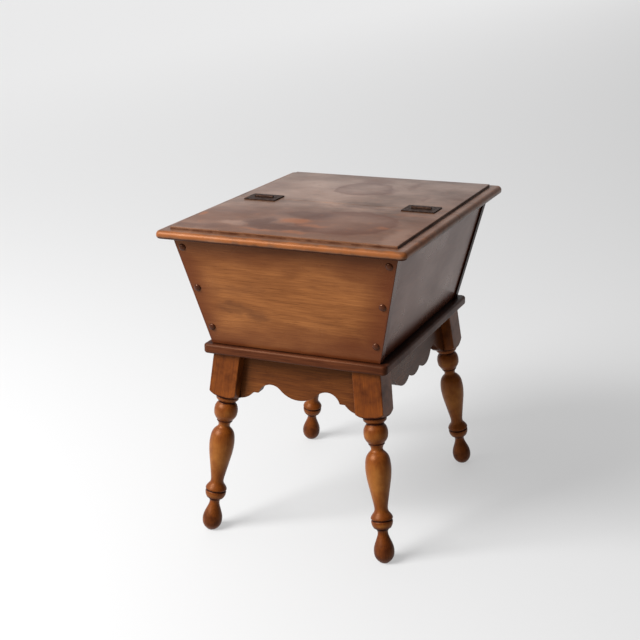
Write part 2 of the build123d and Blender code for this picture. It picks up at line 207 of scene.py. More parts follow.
# Maple and pine, stained brown, shaded darker at the edges and sprayed with satin lacquer:
# the eye sees fine streaks, slow bands of growth, small dark pores and cloudy stain under a
# soft shine. Widths are across the grain in millimetres, runs are how many times longer.
fibre_width, fibre_run = 1.4, 32.0  # real fibres are 0.3 mm, drawn coarser so that they show
growth_width, growth_run = 34.0, 6.0
growth_bands = 5.0
pore_width, pore_run = 1.2, 16.0
pore_start, pore_full = 0.62, 0.74  # noise over which a pore opens
fibre_share, growth_share, pore_share = 0.7, 0.05, 0.12  # of the tone
tones = {2: (0.2, 0.8), 4: (0.15, 0.42, 0.6, 0.85)}  # tone at each of two or four colours
stain_clouds = (0.45, 85.0, 1.8)  # strength, width, run
cloud_low, cloud_high = 0.35, 0.65  # nearly all of a cloudy noise lies between
thin_lacquer = 0.4  # how dull the lacquer is over the darkest clouds
rougher, smoother = 0.04, 0.02  # roughness over the darkest and the palest clouds
dullest_shine = 0.04
lacquer_ior = 1.4
lacquer_tint = "#e8b088"  # old lacquer has yellowed, so it reflects a little warm
ridge_height = 0.1  # mm, of the fibres that the lacquer hasn't filled


def lacquered_wood(
    name, along, colours, turn=(0, 0, 0), start=0.0, rough=0.27, contrast=0.8,
    clouds=stain_clouds, relief=0.2, shine=0.6, layers=(),
):
    """Stained wood with its grain along an axis: tone = fibre + sin(growth) + stain - pores,
    each a noise stretched along the grain. Each layer then changes the colour, and says where
    the lacquer is dull."""
    material, tree, place = new_material(name)
    turned = add(tree, "Mapping", {"Vector": place, "Rotation": turn, "Location": [start] * 3})

    def stretched_noise(width, run, detail, distortion=0.0):
        scale = [1 / width] * 3
        scale[along] /= run
        spot = add(tree, "Mapping", {"Vector": turned, "Scale": scale})
        inputs = {"Vector": spot, "Scale": 1.0, "Detail": detail, "Distortion": distortion}
        return add(tree, "TexNoise", inputs)

    fibre = stretched_noise(fibre_width, fibre_run, 2.0)
    growth = stretched_noise(growth_width, growth_run, 1.5, 0.4)
    rings = add(tree, "Math", {0: growth, 1: growth_bands * 2 * pi}, operation="MULTIPLY")
    rings = add(tree, "Math", {0: rings}, operation="SINE")
    pores = {0: stretched_noise(pore_width, pore_run, 1.0), 1: pore_start, 2: pore_full}
    pores = add(tree, "MapRange", pores, **smoothly)
    cloud_strength, cloud_width, cloud_run = clouds
    cloud = stretched_noise(cloud_width, cloud_run, 3.5)
    tone = 0.5 - 0.5 * (fibre_share * contrast + cloud_strength)
    for part, strength in (
        (fibre, fibre_share * contrast), (cloud, cloud_strength),
        (rings, growth_share * contrast), (pores, -pore_share),
    ):
        tone = add(tree, "Math", {0: part, 1: strength, 2: tone}, operation="MULTIPLY_ADD")
    colour = add(tree, "ValToRGB", {0: tone}, stops=zip(tones[len(colours)], colours))
    over_clouds = {0: cloud, 1: cloud_low, 2: cloud_high}
    dull = add(tree, "MapRange", {**over_clouds, 3: thin_lacquer, 4: 0.0})
    for layer in layers:
        colour, dull = layer(tree, place, colour, dull, fibre, cloud)
    gloss = add(tree, "MapRange", {**over_clouds, 3: rough + rougher, 4: rough - smoother})
    ridges = add(tree, "Math", {0: fibre, 1: pores}, operation="SUBTRACT")
    bump = {"Strength": relief, "Distance": ridge_height * MM, "Height": ridges}
    inputs = {"Base Color": colour, "Roughness": gloss, "Normal": add(tree, "Bump", bump)}
    inputs["IOR"] = lacquer_ior
    inputs["Specular IOR Level"] = add(tree, "MapRange", {0: dull, 3: shine, 4: dullest_shine})
    inputs["Specular Tint"] = linear(lacquer_tint)
    add(tree, "OutputMaterial", {0: add(tree, "BsdfPrincipled", inputs)}, None)
    return material


rubbed_width, rust_width = 5.0, 1.2  # mm, of rubbed patches and specks of rust
hollow, rubbed = 0.36, 0.66  # noise under and over which the skin is dark or pale
patch_low, patch_high = 0.3, 0.7  # nearly all of the patches' noise lies between
hollow_rougher, rubbed_smoother = 0.1, 0.06
rust_start, rust_full = 0.58, 0.72  # noise over which rust shows
rust_colour = "#3d1d0e"
skin_height, skin_relief = 0.12, 0.3  # mm, and how strong it looks


def old_iron(name, pale, dark, skin, rough, metallic, rust):
    """Iron with an old dull skin: dark in the hollows of the skin, rubbed paler in patches,
    specked with rust; skin tints what it reflects."""
    material, tree, place = new_material(name)
    patches = {"Vector": place, "Scale": 1 / rubbed_width, "Detail": 4.0}
    patches = add(tree, "TexNoise", patches)
    specks = {"Vector": place, "Scale": 1 / rust_width, "Detail": 3.0}
    specks = add(tree, "TexNoise", specks)
    colour = add(tree, "ValToRGB", {0: patches}, stops=[(hollow, dark), (rubbed, pale)])
    share = add(tree, "MapRange", {0: specks, 1: rust_start, 2: rust_full, 4: rust}, **smoothly)
    colour = add(tree, "Mix", {0: share, 6: colour, 7: linear(rust_colour)}, **in_colour)
    gloss = {0: patches, 1: patch_low, 2: patch_high, 3: rough + hollow_rougher}
    gloss = add(tree, "MapRange", {**gloss, 4: rough - rubbed_smoother})
    bump = {"Strength": skin_relief, "Distance": skin_height * MM, "Height": specks}
    bump = add(tree, "Bump", bump)
    inputs = {"Base Color": colour, "Roughness": gloss, "Normal": bump, "Metallic": metallic}
    inputs["Specular Tint"] = linear(skin)
    add(tree, "OutputMaterial", {0: add(tree, "BsdfPrincipled", inputs)}, None)
    return material


# ---- layers of a stained wood ----
# Each takes the colour and the dullness so far, and returns both.
fade = 1.0  # mm over which one finish gives way to the next


def depth_behind(tree, parts, axis, half, slope):
    """Depth behind a leaning face, half + slope * (z - platform_height) from the middle along
    the axis, or behind its twin on the other side."""
    out = add(tree, "Math", {0: parts[axis]}, operation="ABSOLUTE")
    face = {0: parts[2], 1: slope, 2: half - slope * platform_height}
    face = add(tree, "Math", face, operation="MULTIPLY_ADD")
    return add(tree, "Math", {0: face, 1: out}, operation="SUBTRACT")


def cover(tree, colour, dull, share, shade, dryness=None):
    """The colour mixed with a shade by share, and the dullness raised to share * dryness."""
    colour = add(tree, "Mix", {0: share, 6: colour, 7: shade}, **in_colour)
    if dryness is not None:
        share = add(tree, "Math", {0: share, 1: dryness}, operation="MULTIPLY")
    return colour, add(tree, "Math", {0: dull, 1: share}, operation="MAXIMUM")


edge_wander = 40.0  # mm, how far the rim of the shading wanders in all


def shaded_edges(axis, half, slope, low, high, reach, strength, dark):
    """Layer: toning that deepens towards the edges of a leaning board, and is painted shade where
    those edges meet the parts over, under and beside it. Its half length along the axis is
    half + slope * (z - platform_height), and it stands from low to high."""

    def layer(tree, place, colour, dull, fibre, cloud):
        parts = add(tree, "SeparateXYZ", {0: place}, None)
        gap = depth_behind(tree, parts, axis, half, slope)
        for start, stop in ((parts[2], high), (low, parts[2])):
            other = add(tree, "Math", {0: stop, 1: start}, operation="SUBTRACT")
            gap = add(tree, "Math", {0: gap, 1: other}, operation="MINIMUM")
        gap = add(tree, "Math", {0: cloud, 1: edge_wander, 2: gap}, operation="MULTIPLY_ADD")
        share = {0: gap, 1: edge_wander / 2, 2: edge_wander / 2 + reach, 3: strength, 4: 0.0}
        share = add(tree, "MapRange", share, **smoothly)
        return add(tree, "Mix", {0: share, 6: colour, 7: linear(dark)}, **in_colour), dull

    return layer


def darkened_ends(axis, half, slope, depth, dark, dryness):
    """Layer: darker ends of a leaning board, for its end grain and, on the back board, as painted
    shade; dryness is how far the ends go dull."""

    def layer(tree, place, colour, dull, fibre, cloud):
        parts = add(tree, "SeparateXYZ", {0: place}, None)
        inwards = depth_behind(tree, parts, axis, half, slope)
        share = add(tree, "MapRange", {0: inwards, 1: depth, 2: depth + fade, 3: 1.0, 4: 0.0})
        return cover(tree, colour, dull, share, linear(dark), dryness)

    return layer


def unlacquered(axis, half, slope, depth, plain):
    """Layer: dull plain wood deeper than depth behind the outer face, such as the inside of
    the box or the sawn edge of an apron; plain holds its colours by fibre noise."""

    def layer(tree, place, colour, dull, fibre, cloud):
        parts = add(tree, "SeparateXYZ", {0: place}, None)
        inwards = depth_behind(tree, parts, axis, half, slope)
        share = add(tree, "MapRange", {0: inwards, 1: depth - fade, 2: depth})
        under = add(tree, "ValToRGB", {0: fibre}, stops=plain)
        return cover(tree, colour, dull, share, under)

    return layer


darker_under, rubbed_over = 0.47, 0.53  # wear value outside which wood is darkened or rubbed


def worn_and_shaded(dark, pale, dirt_and_shade, rub, patch=0.5, size=30.0):
    """Layer: darker wood, for dirt and for painted shade, where the point's number is under a
    half, rubbed wood where it is over, both broken up by patches of a size."""

    def layer(tree, place, colour, dull, fibre, cloud):
        wear_and_shade = add(tree, "Attribute", {}, "Fac", attribute_name="wear_and_shade")
        patches = add(tree, "TexNoise", {"Vector": place, "Scale": 1 / size, "Detail": 3.0})
        wear_and_shade = add(tree, "Math", {0: patches, 1: patch, 2: wear_and_shade}, operation="MULTIPLY_ADD")
        wear_and_shade = add(tree, "Math", {0: wear_and_shade, 1: 0.5 * patch}, operation="SUBTRACT")
        share = add(tree, "MapRange", {0: wear_and_shade, 1: darker_under, 2: 0.0, 4: dirt_and_shade}, **smoothly)
        colour, dull = cover(tree, colour, dull, share, linear(dark))
        share = add(tree, "MapRange", {0: wear_and_shade, 1: rubbed_over, 2: 1.0, 4: rub}, **smoothly)
        return add(tree, "Mix", {0: share, 6: colour, 7: linear(pale)}, **in_colour), dull

    return layer


shade_wander, shade_start = 5.0, 2.0  # mm, of the rim of the painted shade on the ledge


def ledge_shade(half_x, half_y, reach, strength, dark, plain):
    """Layer: painted shade on a ledge, deepest at the foot of the box that stands on it, and wood
    left unstained under the box."""

    def layer(tree, place, colour, dull, fibre, cloud):
        parts = add(tree, "SeparateXYZ", {0: place}, None)
        gaps = []
        for axis, half in ((0, half_x), (1, half_y)):
            away = add(tree, "Math", {0: parts[axis]}, operation="ABSOLUTE")
            gaps.append(add(tree, "Math", {0: away, 1: half}, operation="SUBTRACT"))
        gap = add(tree, "Math", {0: gaps[0], 1: gaps[1]}, operation="MAXIMUM")
        inside = {0: gap, 1: -board_thickness - fade, 2: -board_thickness, 3: 1.0, 4: 0.0}
        inside = add(tree, "MapRange", inside)
        under = add(tree, "ValToRGB", {0: fibre}, stops=plain)
        gap = add(tree, "Math", {0: cloud, 1: shade_wander, 2: gap}, operation="MULTIPLY_ADD")
        share = {0: gap, 1: shade_start, 2: shade_start + reach, 3: strength, 4: 0.0}
        share = add(tree, "MapRange", share, **smoothly)
        colour, dull = cover(tree, colour, dull, share, linear(dark))
        return add(tree, "Mix", {0: inside, 6: colour, 7: under}, **in_colour), dull

    return layer


ragged_width, ragged_reach = 28.0, 34.0  # mm, of the bays in a mark's rim
sharp_rim, soft_rim = (0.96, 1.1), (0.45, 1.3)  # start and end of a rim, as shares of its size
stain_middle = 0.25  # how strong a drying stain stays inside its rim


def marked(marks, up=1, low=0.0):
    """Layer: stains and rubbed places, each an ellipse (x, y or z, half sizes) with ragged rim.
    rim is left out for a soft patch, or is the share of the way out where a drying stain starts
    to darken towards its sharp rim; up is the axis across the marks' face, 1 for y and 2 for z.
    Wood under the height low has no marks."""

    def layer(tree, place, colour, dull, fibre, cloud):
        clean, glossy = colour, dull
        parts = add(tree, "SeparateXYZ", {0: place}, None)
        shown = add(tree, "MapRange", {0: parts[2], 1: low - fade, 2: low + fade})
        wander = {"Vector": place, "Scale": 1 / ragged_width, "Detail": 4.0}
        wander = add(tree, "TexNoise", wander, "Color")
        wander = add(tree, "VectorMath", {0: wander, 1: (0.5, 0.5, 0.5)}, operation="SUBTRACT")
        wander = add(tree, "VectorMath", {0: wander, "Scale": ragged_reach}, operation="SCALE")
        spot = add(tree, "VectorMath", {0: place, 1: wander}, operation="ADD")
        for x, y, half_x, half_y, strength, (shade, dryness), *rim in marks:
            scale, start = [1 / half_x, 0.0, 0.0], [-x / half_x, 0.0, 0.0]
            scale[up], start[up] = 1 / half_y, -y / half_y
            reach = add(tree, "Mapping", {"Vector": spot, "Scale": scale, "Location": start})
            reach = add(tree, "VectorMath", {0: reach}, "Value", operation="LENGTH")
            start, stop = sharp_rim if rim else soft_rim
            share = {0: reach, 1: start, 2: stop, 3: strength, 4: 0.0}
            share = add(tree, "MapRange", share, **smoothly)
            if rim:
                inner = {0: reach, 1: rim[0], 2: 1.0, 3: stain_middle, 4: 1.0}
                inner = add(tree, "MapRange", inner)
                share = add(tree, "Math", {0: share, 1: inner}, operation="MULTIPLY")
            colour, dull = cover(tree, colour, dull, share, linear(shade), dryness)
        colour = add(tree, "Mix", {0: shown, 6: clean, 7: colour}, **in_colour)
        return colour, add(tree, "Mix", {0: shown, 2: glossy, 3: dull}, data_type="FLOAT")

    return layer


# ---- marks and finishes ----
# Kinds of mark: colour, and how dull it leaves the lacquer
soot, tea, worn_bare = ("#3f2418", 0.9), ("#472413", 0.95), ("#784523", 0.95)
bloom, polish_and_shade, red_toner = ("#866b5c", 0.0), ("#553019", 0.6), ("#3c160a", 0.3)
# Places of the marks on the top: (x, y, half sizes in x and y, strength, kind), and the rim
top_marks = [
    (-20, -170, 300, 130, 0.6, polish_and_shade), (-60, 150, 200, 120, 0.28, bloom),
    # The mark at x 220 darkens the strip along the right edge as painted shade, on the side away
    # from the window
    (220, 0, 60, 300, 0.4, polish_and_shade), (-50, 58, 105, 44, 0.4, bloom),
    (-115, 135, 42, 50, 0.35, bloom), (-160, 30, 50, 26, 0.3, bloom),
    (-112, -190, 30, 16, 0.4, bloom), (102, -102, 36, 28, 0.2, bloom),
    (140, 190, 70, 40, 0.25, bloom), (180, -195, 20, 60, 0.3, bloom),
    (-185, 108, 26, 44, 0.4, tea), (-8, 206, 36, 34, 0.6, tea),
    (76, 180, 8, 40, 0.5, tea), (128, 84, 8, 22, 0.45, tea),
    (48, 120, 14, 40, 0.45, tea), (60, -16, 130, 5, 0.35, tea),
    (-4, 131, 54, 56, 0.65, tea, 0.4), (66, -134, 86, 82, 0.7, tea, 0.3),
    (-19, -97, 54, 30, 0.75, soot), (-34, -196, 70, 22, 0.8, soot),
    (-72, -168, 26, 34, 0.8, soot), (-150, -112, 60, 18, 0.45, soot),
    (-184, -232, 44, 16, 0.65, soot), (-134, -222, 34, 14, 0.5, soot),
    (-19, -147, 30, 20, 0.7, worn_bare), (25, -172, 28, 12, 0.5, worn_bare),
    (-52, -222, 34, 8, 0.5, worn_bare), (10, -220, 30, 10, 0.5, worn_bare),
    (-198, -146, 10, 18, 0.65, worn_bare), (136, -150, 14, 10, 0.5, worn_bare),
    (148, -46, 34, 12, 0.3, worn_bare),
]
# The same on the front board, with z for y
front_marks = [
    (-92, 417, 46, 11, 0.45, soot), (-56, 407, 20, 8, 0.35, soot),
    (-110, 455, 60, 12, 0.15, soot), (165, 512, 80, 52, 0.5, red_toner),
    (150, 372, 70, 20, 0.4, red_toner), (40, 376, 120, 26, 0.3, red_toner),
]

# Colours of the woods from the darkest streaks to the palest
case_colours = ("#482611", "#6a3f20", "#7e4e29", "#976538")
# The side boards are the front boards' wood painted darker, as shade on the sides
side_colours = ("#38190e", "#522a19", "#643822", "#7a4b30")
platform_colours = ("#1e0c06", "#36190d", "#472413", "#5e341c")
apron_colours = ("#260f07", "#40200e", "#522c13", "#6e421f")
leg_colours = ("#331404", "#52260a", "#66340f", "#864e1c")
top_colours = ("#2b1a11", "#4a3326", "#614636", "#80604c")
peg_colours = ("#1e0d08", "#452113")
block_colours = ("#5a3d20", "#8d6a3e")
bare_pine = [(0.3, "#5a3d20"), (0.7, "#7c5830")]  # at each fibre noise
sawn_edge = [(0.3, "#2a1409"), (0.7, "#3c1e0f")]
toner_and_shade = "#2c130a"

# Faces that the layers measure from: (axis, half at the platform's top, slope)
board_ends = (0, box_half_width, box_splay_x)
board_face = side_ends = (1, box_half_depth, box_splay_y)
side_face = (0, box_half_width - side_reveal, box_splay_x)
apron_ends, apron_faces = [
    [(axis, leg_at(platform_height, axis) + past, -leg_splay[axis]) for axis in (0, 1)]
    for past in (-post_half_width, apron_proud)
]
board_span = (platform_height, rim_height)
board_shade = (62.0, 0.8, "#451d0d")  # reach, strength, colour
apron_shade = (0.0, stand_height, 18.0, 0.5, toner_and_shade)  # low, high, and the same; the toning is also painted shade under the platform and beside the posts
shade_shorter = 4.0  # mm less that the painted shade reaches on the front and back ledges, which are lit
ledge_shade_round = (box_half_width, box_half_depth - shade_shorter)
sawn_depth = 2.0  # mm behind an apron's face
marks_low = lip_top - 6.0  # the rim of the top below this has no marks
far_off = 40.0  # mm past the edges that stay unshaded
only_foot = (0, box_half_width + far_off, box_splay_x, platform_height, rim_height + far_off)

# Toning at the boards' edges; under the lip and at the foot it is also painted shade
end_shade = shaded_edges(*board_ends, *board_span, *board_shade)
# Painted shade along the foot of the front board, where it meets the ledge
painted_foot_shade = shaded_edges(*only_foot, reach=14.0, strength=0.7, dark="#3a1406")
inner_face = unlacquered(*board_face, board_thickness, bare_pine)
front_wood = lacquered_wood(
    "stained pine board, grain across", 0, case_colours,
    layers=[
        marked(front_marks, up=2), end_shade, painted_foot_shade, inner_face,
        darkened_ends(*board_ends, side_reveal, "#4a2414", dryness=0.0),
    ],
)
# Its ends are darkened and dulled as painted shade
back_wood = lacquered_wood(
    "stained pine back board, ends painted dark as shade", 0, case_colours, start=510.0,
    layers=[end_shade, inner_face, darkened_ends(*board_ends, side_reveal, "#220d08", dryness=1.0)],
)
side_wood = lacquered_wood(
    "stained pine board, grain to the back", 1, side_colours, start=310.0, contrast=0.4,
    relief=0.03, shine=0.7,
    layers=[
        # The same toning on the side boards, also painted shade under the lip and at the foot
        shaded_edges(*side_ends, *board_span, *board_shade),
        unlacquered(*side_face, board_thickness, bare_pine),
    ],
)
platform_wood = lacquered_wood(
    "stained pine platform", 0, platform_colours, start=170.0, rough=0.42, shine=0.25,
    layers=[
        worn_and_shaded(toner_and_shade, "#6e4428", dirt_and_shade=0.9, rub=0.3),
        # Painted shade round the foot of the box, near black, reaching less far on the front and
        # back ledges
        ledge_shade(*ledge_shade_round, reach=16.5, strength=0.97, dark="#160603", plain=bare_pine),
    ],
)
front_apron_wood, side_apron_wood = [
    lacquered_wood(
        f"stained pine apron, grain {way}", along, apron_colours, start=start, shine=shine,
        layers=[
            shaded_edges(*apron_ends[along], *apron_shade),
            unlacquered(*apron_faces[1 - along], sawn_depth, sawn_edge),
        ],
    )
    for along, way, start, shine in ((0, "across", 570.0, 0.35), (1, "to the back", 410.0, 0.22))
]
top_wood = lacquered_wood(
    "stained pine top, rubbed and marked", 0, top_colours, start=730.0, rough=0.3, contrast=0.6,
    clouds=(0.8, 62.0, 1.2), shine=0.36,
    layers=[
        marked(top_marks, low=marks_low),
        # Its dark is painted shade in the step and under the lip; its pale is the rubbed nose
        worn_and_shaded("#35190d", "#7a4520", dirt_and_shade=0.9, rub=0.72, patch=0.9, size=16.0),
    ],
)
# Walnut, nearly black and glossier than the boards; and pale dull pine for what is hidden
peg_wood = lacquered_wood("dark walnut pegs", 2, peg_colours, start=90.0, rough=0.22)
block_wood = lacquered_wood("bare pine blocks", 0, block_colours, start=20.0, rough=0.6)
# Wrought iron blackened with oil and rubbed by hands: nearly black, brown where it is rubbed
black_iron = old_iron(
    "blackened iron, rubbed", "#33221a", "#140c08", "#8a6a58", rough=0.55, metallic=0.2, rust=0.5,
)
# Plain steel gone dull: grey, a little rust
dull_steel = old_iron(
    "dull steel screws", "#8a857d", "#4f4b46", "#ffffff", rough=0.4, metallic=0.85, rust=0.3,
)


# ---- the box ----
board_arris = 1.3  # mm eased off the boards' arrises


def lean_x(thickness):
    """Level width of a side board of that thickness."""
    return thickness * hypot(1, box_splay_x)


def lean_y(thickness):
    """Level width of a front or back board of that thickness."""
    return thickness * hypot(1, box_splay_y)


def box_board(name, ring, material, replaced):
    """Board between the platform and the rim, its four corners at height z given by ring(z)."""
    points = ring(platform_height) + ring(rim_height)
    sides = [(i, (i + 1) % 4, 4 + (i + 1) % 4, 4 + i) for i in range(4)]
    faces = [(3, 2, 1, 0), (4, 5, 6, 7)] + sides
    ease(new_piece(name, points, faces, material, replaced), board_arris)


def end_board(name, end, wood):
    """Front or back board, wider than the box by the reveal."""

    def ring(z):
        x, outer = box_x(z), end * box_y(z)
        inner = outer - end * lean_y(board_thickness)
        return [(-x, outer, z), (x, outer, z), (x, inner, z), (-x, inner, z)]

    box_board(f"pegged_{name}", ring, wood, [name])


def side_board(name, side):
    """Side board between the front and back boards."""

    def ring(z):
        y = box_y(z) - lean_y(board_thickness)
        outer = side * (box_x(z) - lean_x(side_reveal))
        inner = outer - side * lean_x(board_thickness)
        return [(outer, -y, z), (outer, y, z), (inner, y, z), (inner, -y, z)]

    box_board(f"plain_{name}", ring, side_wood, [name])


# ---- moulded boards ----
front_corners = [(left, front, 180), (right, front, 270)]  # side, end, degrees at the start
back_corners = [(right, back, 0), (left, back, 90)]
corner_steps = 9  # points round a corner


def moulded_plan(half_x, half_y, radius, inset, corners):
    """Rounded plan corners pulled in by inset; past the radius they are sharp mitres."""
    angle = np.linspace(0, 90, corner_steps)
    swing = max(radius - inset, 0.0)
    plan = []
    for side, end, start in corners:
        x = side * (half_x - max(radius, inset)) + swing * np.cos(np.radians(start + angle))
        y = end * (half_y - max(radius, inset)) + swing * np.sin(np.radians(start + angle))
        plan.append(np.stack([x, y], axis=1))
    return np.vstack(plan)


rubbed_arris = 0.06  # wear at most, on the platform's upper edge
arris_inset, arris_reach = 0.3, 0.5  # shares of the edge's radius


def platform():
    """Edge profile carried round a rounded rectangle, closed by its two flats."""
    r = platform_edge_radius
    size = (platform_half_width, platform_half_depth, platform_corner_radius)
    profile = arc((r, stand_height + r), r, 270, 180, 7)
    profile += arc((r, platform_height - r), r, 180, 90, 7)
    rings, wear_and_shade = [], []
    for inset, z in profile:
        plan = moulded_plan(*size, inset, front_corners + back_corners)
        rings.append(np.hstack([plan, np.full((len(plan), 1), z)]))
        arris = max(0.0, 1 - abs(inset - arris_inset * r) / (arris_reach * r))
        arris *= z > stand_height + 2 * r
        wear_and_shade.append(np.full(len(plan), 0.5 + rubbed_arris * arris))
    new_piece(
        "platform_board", np.vstack(rings), capped_faces(len(rings), len(rings[0])),
        platform_wood, ["platform"], wear_and_shade=np.concatenate(wear_and_shade),
    )


# Wear on the lip: its nose is rubbed, most within the grip of the top's ends; in the step and
# under the lip the wood is darkened as painted shade
nose_drop, nose_reach, nose_rub = 5.0, 7.5, 0.6
grip_start, grip_fade, least_rub = 40, 30, 0.3
step_shade, under_lip_shade = 0.36, 0.6
field_arris = 0.5  # mm eased off the arrises at the seam
flat_end = 1.2  # mm, from the last point of the lip's flat to the step
step_clear = 3  # mm under the field, where the painted shade in the step ends
hair = 0.1  # mm, a margin where two curves meet


def top_profile(low):
    """Edge of the top from its underside out round the lip and up the step to the field."""
    upper, lower, edge = lip_upper_radius, lip_lower_radius, field_edge_radius
    step = lip_width - step_cove
    profile = arc((lower, low + lower), lower, 270, 180, 8)
    profile += arc((upper, lip_top - upper), upper, 180, 90, 12) + [(step - flat_end, lip_top)]
    profile += arc((step, lip_top + step_cove), step_cove, 270, 360, 5)
    profile += arc((lip_width + edge, height - edge), edge, 180, 90, 5)
    return profile


def half_top(name, end, body, low, replaced):
    """Half of the top: its edge profile carried round three sides, closed by the field, the
    underside and the seam face."""
    size = (top_half_width, top_half_depth, top_corner_radius)
    seam = seam_y + end * seam_gap / 2
    step_foot, step_head = lip_width - step_cove - hair, lip_width + hair
    under_width, under_height = 0.9 * lip_lower_radius, 0.6 * lip_lower_radius
    rings, wear_and_shade = [], []
    for inset, z in top_profile(low):
        plan = moulded_plan(*size, inset, front_corners if end == front else back_corners)
        first = np.sign(plan[0, 0]) * (top_half_width - inset)
        plan = np.vstack([[(first, seam)], plan, [(-first, seam)]])
        rings.append(np.hstack([plan, np.full((len(plan), 1), z)]))
        nose = max(0.0, 1 - abs(z - (lip_top - nose_drop)) / nose_reach)
        nose *= inset < lip_upper_radius
        grip = (np.abs(plan[:, 1]) - top_half_depth + grip_start) / grip_fade
        in_step = step_foot < inset < step_head and z < height - step_clear
        is_under = inset < under_width and z < low + under_height
        dirt_and_shade = step_shade * in_step + under_lip_shade * is_under
        wear_and_shade.append(0.5 + nose_rub * nose * np.clip(grip, least_rub, 1) - dirt_and_shade)
    rows, count = len(rings), len(rings[0])
    faces = capped_faces(rows, count, False)
    seam_face = [r * count for r in range(rows)] + [r * count - 1 for r in range(rows, 0, -1)]
    piece = new_piece(
        name, np.vstack(rings), faces + [tuple(seam_face)], top_wood, replaced, body,
        wear_and_shade=np.concatenate(wear_and_shade),
    )
    ease(piece, field_arris, 70)


# ---- the stand ----
# Turned part of a leg, as (height along the leg, radius)
turning = [
    (-2, 5.4), (0, 7.7), (2.6, 11), (6, 13.9), (10, 16), (15, 17.2), (20, 17.5),
    (25, 17), (31, 15.4), (38, 12.8), (44, 10.5), (49, 9.1), (52.4, 8.8),
    (55.4, 9.6), (58.2, 11.2), (59.6, 12.6), (60.3, 14.6), (62.4, 16), (65.2, 17.4),
    (69, 18.3), (72.2, 18.5), (73.3, 18), (74.9, 16.8), (76.4, 18.2), (77.4, 18.9),
    (80.5, 17.9), (84.6, 15.2), (88.2, 12.6), (93, 11.4), (98, 11.8), (107, 13.3),
    (121.7, 16), (136, 18.7), (150, 21), (164, 22), (172.5, 21.5), (180.6, 20.2),
    (186.5, 17.8), (190.6, 14.6), (193.8, 11.4), (197, 10), (200.4, 10.7), (203.2, 12.1),
    (204.3, 12.8), (204.7, 13.8), (207.2, 13.9), (209.6, 15.7), (213, 18), (218, 20.1),
    (225.4, 20.7), (231, 20), (236.4, 17.8), (240.8, 14.7), (242.6, 16.2), (244.6, 18),
    (245.6, 19.2), (248, 19.9), (251.4, 20.2), (251.8, 20.3),
]
pommel = [(253.6, 25), (255.6, 29), (258.6, 32.8), (263, 36.5), (270, 39)]
# Darker places such as the grooves (under 0) and rubbed swellings (over 0): height, spread, amount
leg_touches = [
    (252.8, 2.6, -0.6), (241.2, 2, -0.55), (206.4, 1.5, -0.55), (74.9, 1.7, -0.6),
    (59.4, 3, -0.55), (20, 28, -0.24), (296, 42, -0.22), (144, 46, 0.3),
    (199, 4, 0.12), (222, 10, 0.2), (246.5, 2, 0.2), (67, 4, 0.18), (184, 12, -0.1),
]
turned_step, shoulder_step = 0.8, 0.35  # mm between rings, finer at the shoulder
shoulder_low, shoulder_high, top_margin = 247.0, 266.0, 9.0
post_squareness = 44  # the power p of its rounded square
face_steps = 20  # points on each face, closer at its corners


def smooth_through(stations, at):
    """Monotone cubic through the stations: each slope is the harmonic mean of its neighbours'."""
    x, y = np.array(stations, float).T
    gap, rise = np.diff(x), np.diff(y) / np.diff(x)
    slope = np.zeros(len(x))
    same = rise[:-1] * rise[1:] > 0
    slope[1:-1][same] = 2 * rise[:-1][same] * rise[1:][same] / (rise[:-1][same] + rise[1:][same])
    slope[0], slope[-1] = rise[0], rise[-1]
    i = np.clip(np.searchsorted(x, at) - 1, 0, len(gap) - 1)
    t = (at - x[i]) / gap[i]
    bend = t * t * (3 - 2 * t)
    return (
        y[i] * (1 - bend) + y[i + 1] * bend
        + gap[i] * (slope[i] * t * (1 - t) ** 2 - slope[i + 1] * t * t * (1 - t))
    )


def turned_leg(name, side, end, material):
    """Radius at each height and angle is the lesser of the lathe's profile and the square's
    edge, |cos|^p + |sin|^p = 1 for a slightly rounded square; foot and top are cut level."""
    centre = foot * (side, end, 1)
    axis = (leg_top - foot) * (side, end, 1)
    length = np.linalg.norm(axis)
    up = axis / length
    out = np.array([side, 0, 0]) - side * up[0] * up
    out /= np.linalg.norm(out)
    over = np.cross(up, out)
    heights = np.concatenate([
        np.arange(turning[0][0], shoulder_low, turned_step),
        np.arange(shoulder_low, shoulder_high, shoulder_step),
        np.linspace(shoulder_high, length - top_margin, 5),
    ])
    lathe = smooth_through(turning + pommel, heights)
    lathe[heights > pommel[-1][0]] = pommel[-1][1]
    swing = np.sin(np.linspace(-1, 1, face_steps, endpoint=False) * pi / 2) * pi / 4
    angles = np.concatenate([swing + quarter * pi / 2 for quarter in range(4)])
    p = post_squareness
    powers = np.abs(np.cos(angles)) ** p + np.abs(np.sin(angles)) ** p
    square = post_half_width / powers ** (1 / p)
    radius = np.minimum(lathe[:, None], square[None, :])
    ring = np.cos(angles)[:, None] * out + np.sin(angles)[:, None] * over
    points = centre + heights[:, None, None] * up + radius[..., None] * ring
    points[..., 2] = np.maximum(points[..., 2], 0.0)
    rim = points[-1] + ((stand_height - points[-1][:, 2]) / up[2])[:, None] * up
    points = np.concatenate([points, rim[None]])
    rows, columns = points.shape[:2]
    wear_and_shade = np.full(rows, 0.5)
    for middle, spread, amount in leg_touches:
        wear_and_shade += amount * np.exp(-(((np.append(heights, length) - middle) / spread) ** 2))
    new_piece(
        f"turned_{name}", points.reshape(-1, 3), capped_faces(rows, columns), material, [name],
        sharp=50, wear_and_shade=np.repeat(wear_and_shade, columns),
    )


arch_radius, arch_depth = 25.0, 52.0
lobe_radius, lobe_depth, lobe_pitch = 50.0, 73.0, 55.0
flat_depth, end_depth = 69.0, 82.0
sweep_width, sweep_radius = 27.0, 34.0
scallop_steps = 16  # points on each curve of the scallops
apron_arris = 1.0  # mm eased off


def circle_height(radius, away):
    """Height of a circle over its middle at distances away along it: sqrt(r^2 - a^2), or 0."""
    return np.sqrt(np.maximum(radius**2 - away**2, 0))


